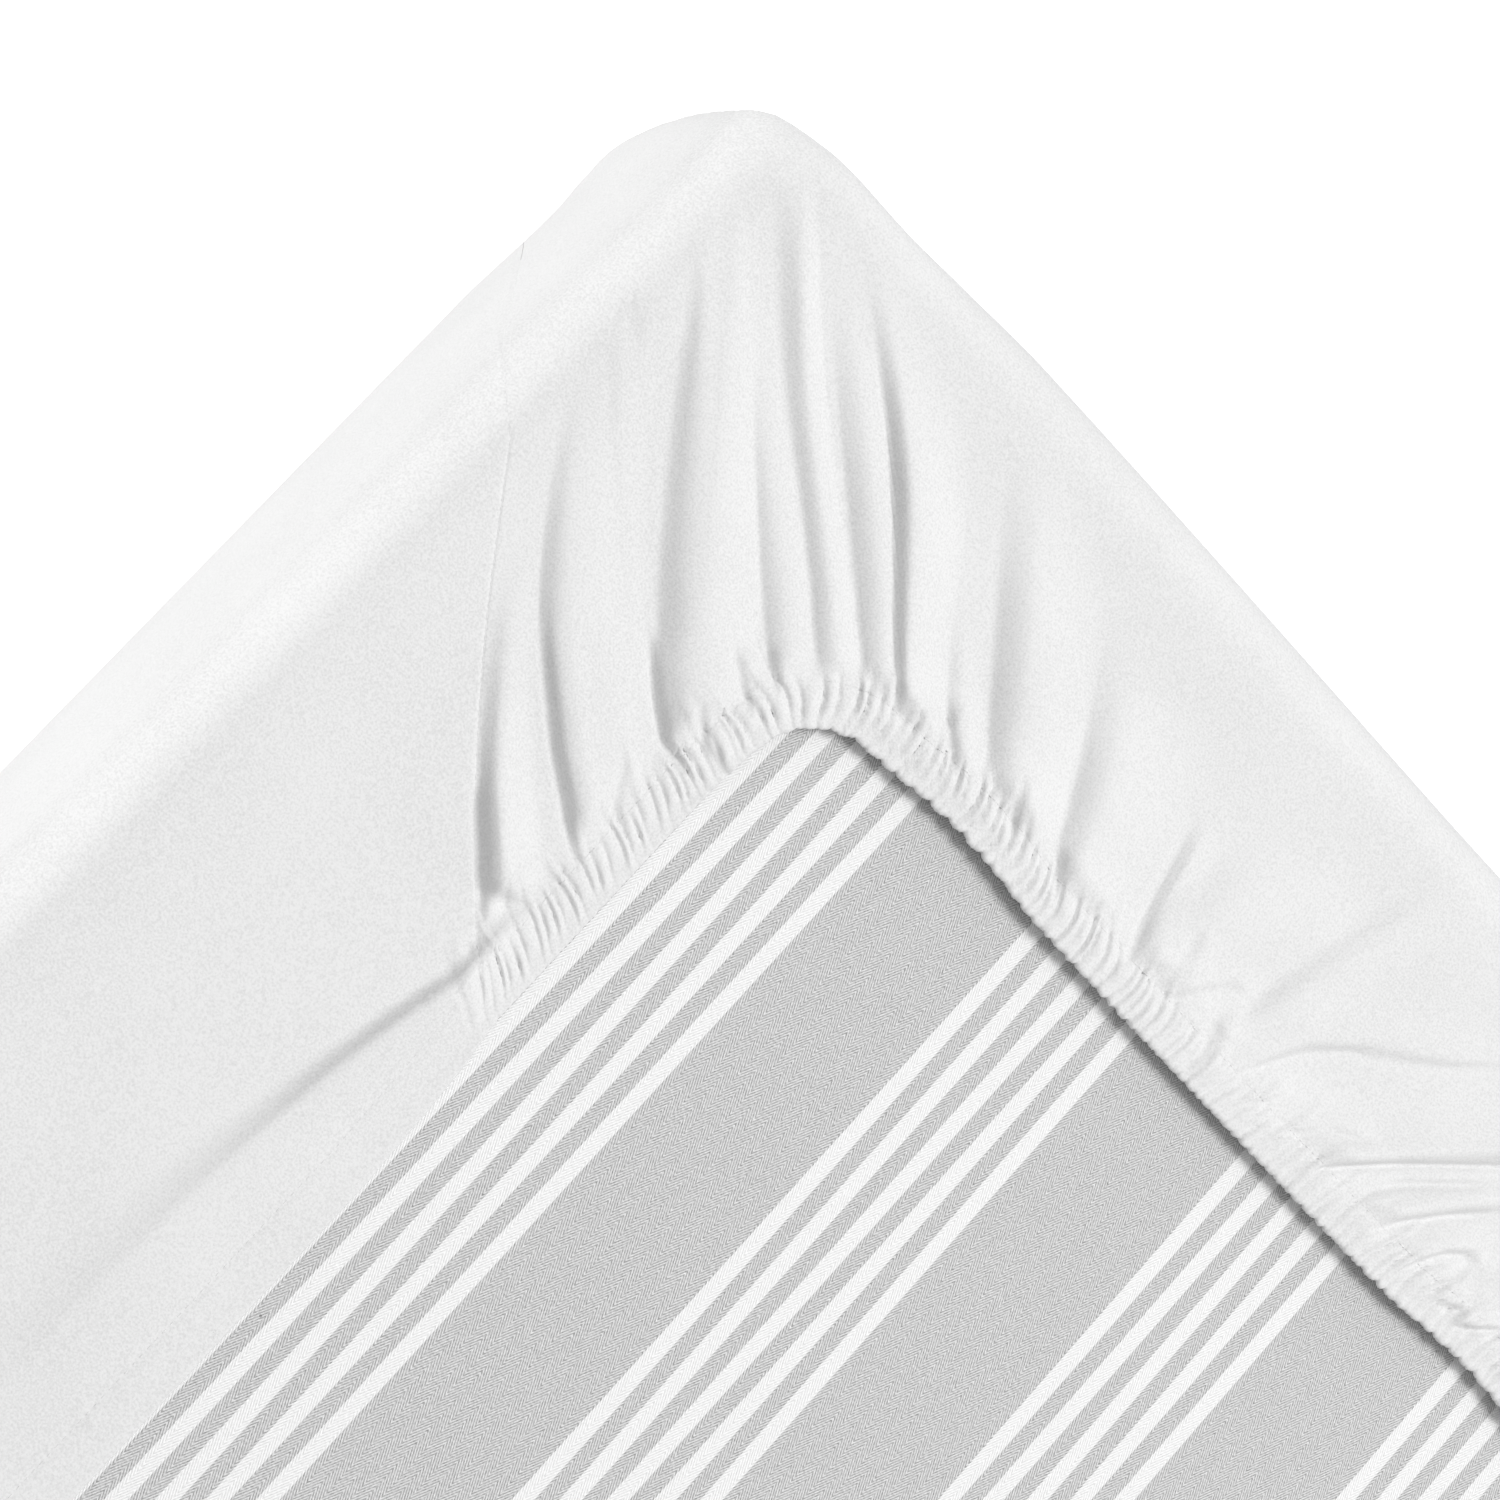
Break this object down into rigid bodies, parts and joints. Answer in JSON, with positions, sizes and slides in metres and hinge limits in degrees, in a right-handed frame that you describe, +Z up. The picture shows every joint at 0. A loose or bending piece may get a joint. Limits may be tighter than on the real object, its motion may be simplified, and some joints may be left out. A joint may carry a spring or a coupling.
{
  "type": "fitted sheet on mattress",
  "caption": "Elasticated fitted sheet pulled over a plain cot mattress that lies face down: gathered hem and folds fan out round the underside's opening.",
  "frame": {"origin": "centre of the sheet's flat face that the mattress rests on, at the floor", "axes": "+Z up, out of the opening inside the hem; +Y along the mattress's length; +X across its width"},
  "size_m": [0.611, 1.211, 0.1312],
  "materials": {
    "white_cotton": "matt woven cotton",
    "striped_ticking": "matt herringbone twill with white stripes"
  },
  "bodies": {
    "root": {"fitted_sheet": "white_cotton", "mattress": "striped_ticking"}
  },
  "joints": []
}
